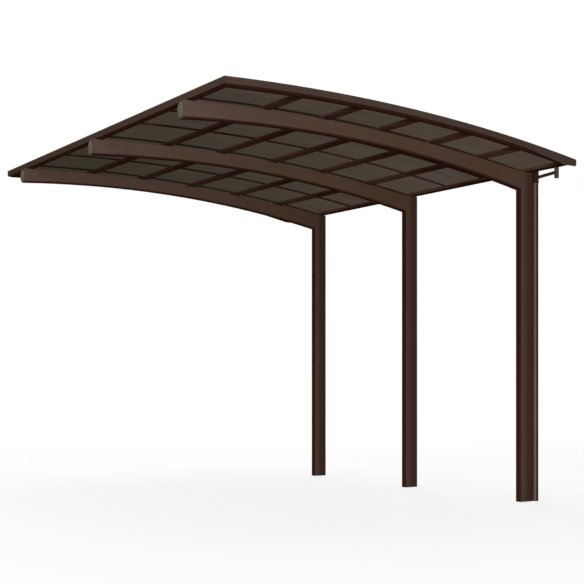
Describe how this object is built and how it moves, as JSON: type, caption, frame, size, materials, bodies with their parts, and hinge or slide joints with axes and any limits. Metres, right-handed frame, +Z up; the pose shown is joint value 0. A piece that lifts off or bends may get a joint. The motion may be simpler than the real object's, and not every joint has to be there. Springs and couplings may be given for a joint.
{
  "type": "cantilever carport",
  "caption": "Single-sided carport: a gently arched panelled roof on tapered cantilever beams, carried by one row of posts, with a rear gutter and a downspout.",
  "frame": {"origin": "centre of the middle post's foot, on the ground", "axes": "+X from the open edge of the roof to the post row, +Y along the post row away from the post with the downspout, +Z up"},
  "size_m": [3.2364, 4, 2.8936],
  "materials": {
    "frame_paint": "satin dark bronze",
    "roof_sheet": "smoked brown sheet",
    "cap_plastic": "satin grey-brown",
    "drain_plastic": "satin dark bronze"
  },
  "bodies": {
    "root": {"post_1": "frame_paint", "beam_1": "frame_paint", "beam_cap_1": "cap_plastic", "post_2": "frame_paint", "beam_2": "frame_paint", "beam_cap_2": "cap_plastic", "post_3": "frame_paint", "beam_3": "frame_paint", "beam_cap_3": "cap_plastic", "purlin_1": "frame_paint", "purlin_2": "frame_paint", "purlin_3": "frame_paint", "purlin_4": "frame_paint", "purlin_5": "frame_paint", "rafter_1": "frame_paint", "rafter_2": "frame_paint", "rafter_3": "frame_paint", "rafter_4": "frame_paint", "rafter_5": "frame_paint", "rafter_6": "frame_paint", "rafter_7": "frame_paint", "roof_panel_1": "roof_sheet", "roof_panel_2": "roof_sheet", "roof_panel_3": "roof_sheet", "roof_panel_4": "roof_sheet", "roof_panel_5": "roof_sheet", "roof_panel_6": "roof_sheet", "roof_panel_7": "roof_sheet", "roof_panel_8": "roof_sheet", "front_frame": "frame_paint", "rear_gutter": "frame_paint", "side_frame_1": "frame_paint", "side_frame_2": "frame_paint", "drain_outlet": "drain_plastic", "drain_cross_pipe": "drain_plastic", "downspout": "drain_plastic"}
  },
  "joints": []
}
